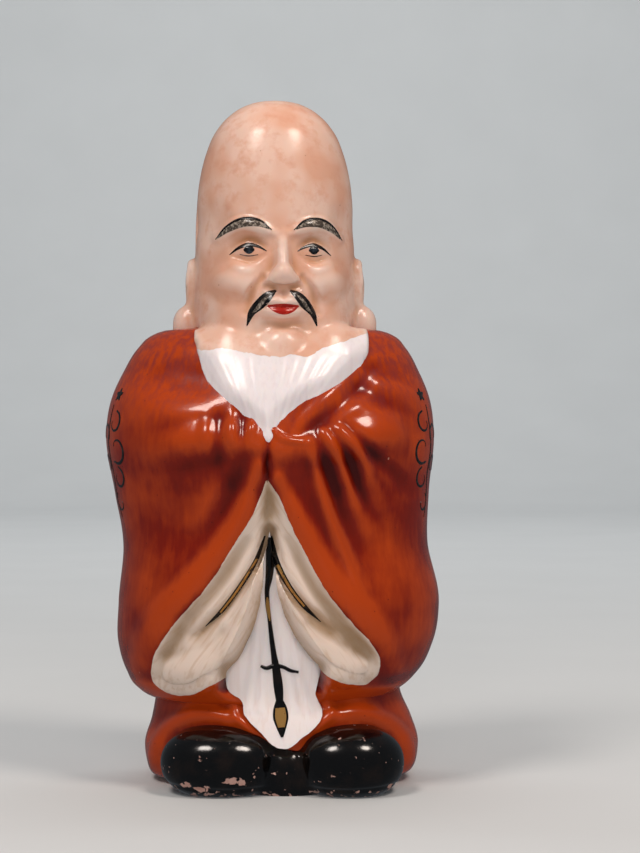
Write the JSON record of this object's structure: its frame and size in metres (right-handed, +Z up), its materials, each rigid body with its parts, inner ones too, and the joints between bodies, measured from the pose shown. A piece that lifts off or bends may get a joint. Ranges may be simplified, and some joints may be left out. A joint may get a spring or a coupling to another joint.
{
  "type": "porcelain sage figurine",
  "caption": "Hollow porcelain figurine of a standing old sage with a tall bald head, white beard, hands joined inside wide red sleeves and black shoes.",
  "frame": {"origin": "middle of the figure's footprint, on the plane that it stands on", "axes": "+Z up through the head; the figure faces -Y; its left arm is on the +X side"},
  "size_m": [0.049, 0.037, 0.1],
  "materials": {
    "red_enamel": "glossy iron-red overglaze enamel",
    "white_glaze": "glossy clear glaze over white porcelain",
    "flesh_glaze": "glossy flesh-tinted glaze",
    "black_enamel": "glossy black overglaze enamel, chipped",
    "bare_biscuit": "unglazed fired clay"
  },
  "bodies": {
    "root": {"robe_body": "red_enamel", "base_plate": "bare_biscuit", "head": "flesh_glaze", "right_ear": "flesh_glaze", "left_ear": "flesh_glaze", "beard": "white_glaze", "right_sleeve": "red_enamel", "left_sleeve": "red_enamel", "right_sleeve_lining": "white_glaze", "left_sleeve_lining": "white_glaze", "front_panel": "white_glaze", "sash_cord": "black_enamel", "right_shoe": "black_enamel", "left_shoe": "black_enamel"}
  },
  "joints": []
}
